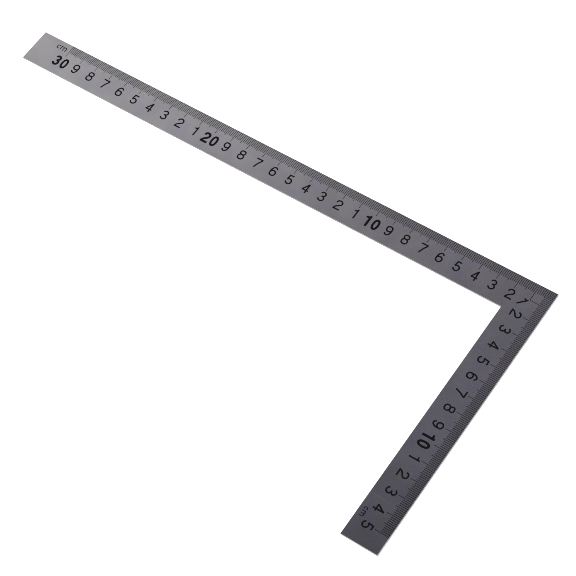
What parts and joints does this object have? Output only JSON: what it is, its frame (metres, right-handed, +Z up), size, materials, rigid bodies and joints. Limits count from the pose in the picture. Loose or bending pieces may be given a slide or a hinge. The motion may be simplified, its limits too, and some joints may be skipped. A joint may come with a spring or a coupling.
{
  "type": "steel square ruler",
  "caption": "Flat L-shaped steel ruler with a centimetre scale etched and black-filled along the outer edge of both arms, for marking and squaring leather.",
  "frame": {"origin": "outer corner of the square, on the underside, where both scales have their zero", "axes": "+Z up out of the graduated face, the long arm along -X, the short arm along -Y"},
  "size_m": [0.32, 0.16, 0.001],
  "materials": {
    "steel": "satin rolled stainless sheet",
    "infill": "matte black enamel"
  },
  "bodies": {
    "root": {"blade": "steel", "long_arm_mm_lines": "infill", "long_arm_half_cm_lines": "infill", "long_arm_cm_lines": "infill", "long_arm_numerals": "infill", "long_arm_decade_numerals": "infill", "long_arm_unit_mark": "infill", "short_arm_mm_lines": "infill", "short_arm_half_cm_lines": "infill", "short_arm_cm_lines": "infill", "short_arm_numerals": "infill", "short_arm_decade_numeral": "infill", "short_arm_unit_mark": "infill", "corner_mm_lines": "infill", "corner_cm_lines": "infill", "corner_numeral": "infill"}
  },
  "joints": []
}
